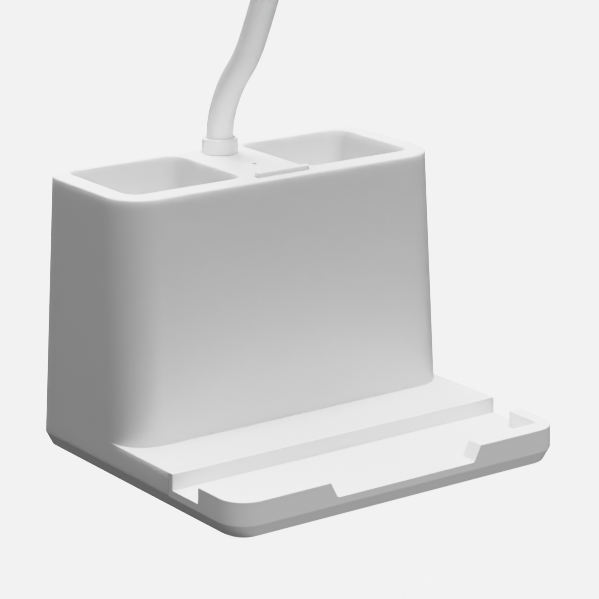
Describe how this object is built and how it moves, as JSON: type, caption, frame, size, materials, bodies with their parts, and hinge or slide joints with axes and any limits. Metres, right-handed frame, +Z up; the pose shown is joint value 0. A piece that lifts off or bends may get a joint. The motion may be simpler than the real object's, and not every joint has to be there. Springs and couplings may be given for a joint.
{
  "type": "desk lamp with drawer base",
  "caption": "Gooseneck LED desk lamp on a pen-cup base whose shallow drawer has a phone tray for its front.",
  "frame": {"origin": "on the desk, under the centre of the base", "axes": "+Z up, -Y towards the tray at the front, +X to the right seen from the front"},
  "size_m": [0.1232, 0.1106, 0.2909],
  "materials": {
    "casing_white": "fine satin moulding",
    "key_white": "fine satin moulding",
    "sleeve_white": "smooth satin silicone",
    "foot_rubber": "matt",
    "steel": "brushed",
    "screw_steel": "zinc plated",
    "ballast_steel": "dark plated",
    "spring_brass": "plain",
    "board_green": "solder mask",
    "board_white": "white solder mask",
    "led_yellow": "phosphor",
    "opal_pane": "opal diffuser",
    "light_pipe": "smoked clear",
    "cell_wrap": "shrink wrap",
    "holder_black": "moulded",
    "switch_black": "moulded"
  },
  "bodies": {
    "base": {"main_housing": "casing_white", "base_cover": "casing_white", "rubber_feet": "foot_rubber", "cover_screws": "screw_steel", "tact_switch": "switch_black", "switch_board": "board_green", "switch_screws": "screw_steel", "indicator_light": "light_pipe", "neck_collar": "casing_white", "neck_ferrule": "steel", "neck_washer": "steel", "neck_nut": "steel", "ballast_plate": "ballast_steel", "ballast_screws": "screw_steel", "battery_cell": "cell_wrap", "battery_holder": "holder_black", "battery_contacts": "spring_brass", "control_board": "board_green", "board_posts": "holder_black", "board_screws": "screw_steel", "charge_socket": "steel", "neck_sleeve_0": "sleeve_white", "neck_core_0": "steel"},
    "drawer": {"drawer_front": "casing_white", "drawer_pan": "casing_white", "drawer_screws": "screw_steel"},
    "key": {"power_key": "key_white"},
    "neck_1": {"neck_sleeve_1": "sleeve_white", "neck_core_1": "steel"},
    "neck_2": {"neck_sleeve_2": "sleeve_white", "neck_core_2": "steel"},
    "neck_3": {"neck_sleeve_3": "sleeve_white", "neck_core_3": "steel"},
    "neck_4": {"neck_sleeve_4": "sleeve_white", "neck_core_4": "steel"},
    "neck_5": {"neck_sleeve_5": "sleeve_white", "neck_core_5": "steel"},
    "neck_6": {"neck_sleeve_6": "sleeve_white", "neck_core_6": "steel"},
    "head": {"neck_sleeve_7": "sleeve_white", "neck_core_7": "steel", "head_shell": "casing_white", "head_bezel": "casing_white", "diffuser": "opal_pane", "led_board": "board_white", "led_chips": "led_yellow", "head_screws": "screw_steel"}
  },
  "joints": [
    {"name": "drawer_slide", "type": "slide", "parent": "base", "child": "drawer", "axis": [0, -1, 0], "range_m": [0, 0.042]},
    {"name": "key_press", "type": "slide", "parent": "base", "child": "key", "axis": [0, 0, -1], "range_m": [0, 0.0006], "stiffness_N_per_m": 400, "springref_m": -0.0015},
    {"name": "neck_bend_1", "type": "hinge", "parent": "base", "child": "neck_1", "pos_m": [0.0013, 0.03602, 0.11324], "axis": [1, 0, 0], "range_deg": [-20, 20]},
    {"name": "neck_bend_2", "type": "hinge", "parent": "neck_1", "child": "neck_2", "pos_m": [0.0013, 0.02076, 0.1372], "axis": [0, 0.9032, 0.4292], "range_deg": [-20, 20]},
    {"name": "neck_bend_3", "type": "hinge", "parent": "neck_2", "child": "neck_3", "pos_m": [0.0013, 0.01207, 0.16422], "axis": [1, 0, 0], "range_deg": [-20, 20]},
    {"name": "neck_bend_4", "type": "hinge", "parent": "neck_3", "child": "neck_4", "pos_m": [0.0013, 0.01431, 0.19261], "axis": [0, 0.9787, -0.2055], "range_deg": [-20, 20]},
    {"name": "neck_bend_5", "type": "hinge", "parent": "neck_4", "child": "neck_5", "pos_m": [0.0013, 0.0224, 0.22], "axis": [1, 0, 0], "range_deg": [-20, 20]},
    {"name": "neck_bend_6", "type": "hinge", "parent": "neck_5", "child": "neck_6", "pos_m": [0.0013, 0.02869, 0.24785], "axis": [0, 0.9944, -0.1054], "range_deg": [-20, 20]},
    {"name": "neck_bend_7", "type": "hinge", "parent": "neck_6", "child": "head", "pos_m": [0.0013, 0.02084, 0.27454], "axis": [1, 0, 0], "range_deg": [-20, 20]}
  ]
}
